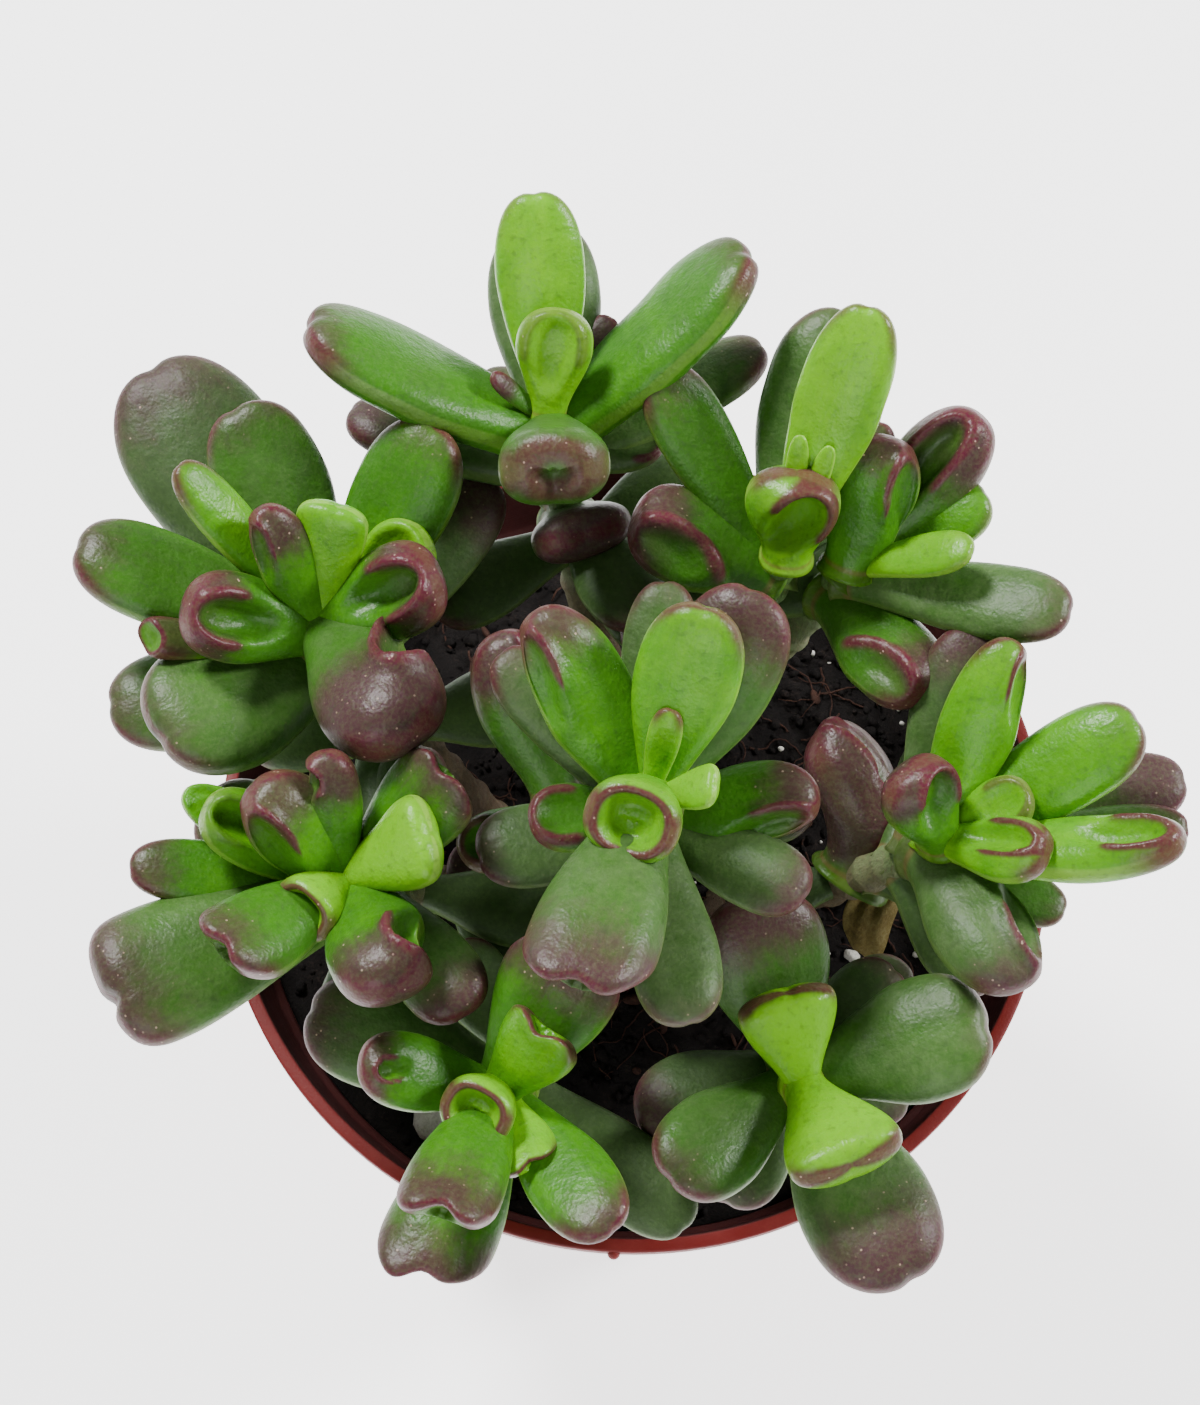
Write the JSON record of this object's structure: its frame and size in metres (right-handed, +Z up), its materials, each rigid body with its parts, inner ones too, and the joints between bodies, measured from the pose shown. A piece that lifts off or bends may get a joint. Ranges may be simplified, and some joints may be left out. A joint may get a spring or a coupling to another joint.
{
  "type": "trumpet jade plant in pot",
  "caption": "Branching trumpet jade succulent with curled spoon, ear and trumpet shaped leaves, growing in a thin terracotta-coloured nursery pot.",
  "frame": {"origin": "middle of the flat centre pad under the pot, where the pot's axis meets the surface it stands on", "axes": "+Z up along the pot's axis, +Y away from the viewer, +X to the viewer's right"},
  "size_m": [0.1258, 0.125, 0.1584],
  "materials": {
    "pot_plastic": "satin",
    "soil": "matte",
    "stem_skin": "matte",
    "leaf_young": "satin",
    "leaf_green": "satin",
    "leaf_blushed": "satin"
  },
  "bodies": {
    "root": {"leaf_back_1": "leaf_young", "leaf_back_2": "leaf_green", "leaf_back_3": "leaf_green", "leaf_back_4": "leaf_green", "leaf_back_5": "leaf_blushed", "leaf_back_6": "leaf_blushed", "leaf_back_right_1": "leaf_young", "leaf_back_right_2": "leaf_blushed", "leaf_back_right_3": "leaf_green", "leaf_back_right_4": "leaf_green", "leaf_far_right_1": "leaf_young", "leaf_far_right_2": "leaf_green", "leaf_far_right_3": "leaf_green", "leaf_far_right_4": "leaf_green", "leaf_front_left_1": "leaf_green", "leaf_front_left_2": "leaf_young", "leaf_front_left_3": "leaf_green", "leaf_front_left_4": "leaf_green", "leaf_front_left_5": "leaf_green", "leaf_front_left_6": "leaf_blushed", "leaf_front_right_1": "leaf_young", "leaf_front_right_2": "leaf_young", "leaf_front_right_3": "leaf_green", "leaf_front_right_4": "leaf_green", "leaf_front_right_5": "leaf_green", "leaf_front_right_6": "leaf_green", "leaf_inner_left_1": "leaf_green", "leaf_left_back_1": "leaf_blushed", "leaf_left_back_2": "leaf_green", "leaf_left_back_3": "leaf_green", "leaf_left_back_4": "leaf_green", "leaf_left_back_5": "leaf_young", "leaf_left_back_6": "leaf_blushed", "leaf_left_back_7": "leaf_green", "leaf_left_back_8": "leaf_green", "leaf_left_back_9": "leaf_blushed", "leaf_left_front_1": "leaf_green", "leaf_left_front_2": "leaf_green", "leaf_left_front_3": "leaf_green", "leaf_left_front_4": "leaf_green", "leaf_left_front_5": "leaf_green", "leaf_left_front_6": "leaf_green", "leaf_middle_1": "leaf_green", "leaf_middle_2": "leaf_blushed", "leaf_middle_3": "leaf_green", "leaf_middle_4": "leaf_young", "leaf_middle_5": "leaf_green", "leaf_middle_6": "leaf_green", "leaf_right_1": "leaf_young", "leaf_right_2": "leaf_young", "leaf_right_3": "leaf_young", "leaf_right_4": "leaf_blushed", "leaf_right_5": "leaf_green", "pot": "pot_plastic", "soil": "soil", "stem_back": "stem_skin", "stem_front": "stem_skin", "stem_left": "stem_skin", "stem_middle": "stem_skin", "stem_right": "stem_skin"}
  },
  "joints": []
}
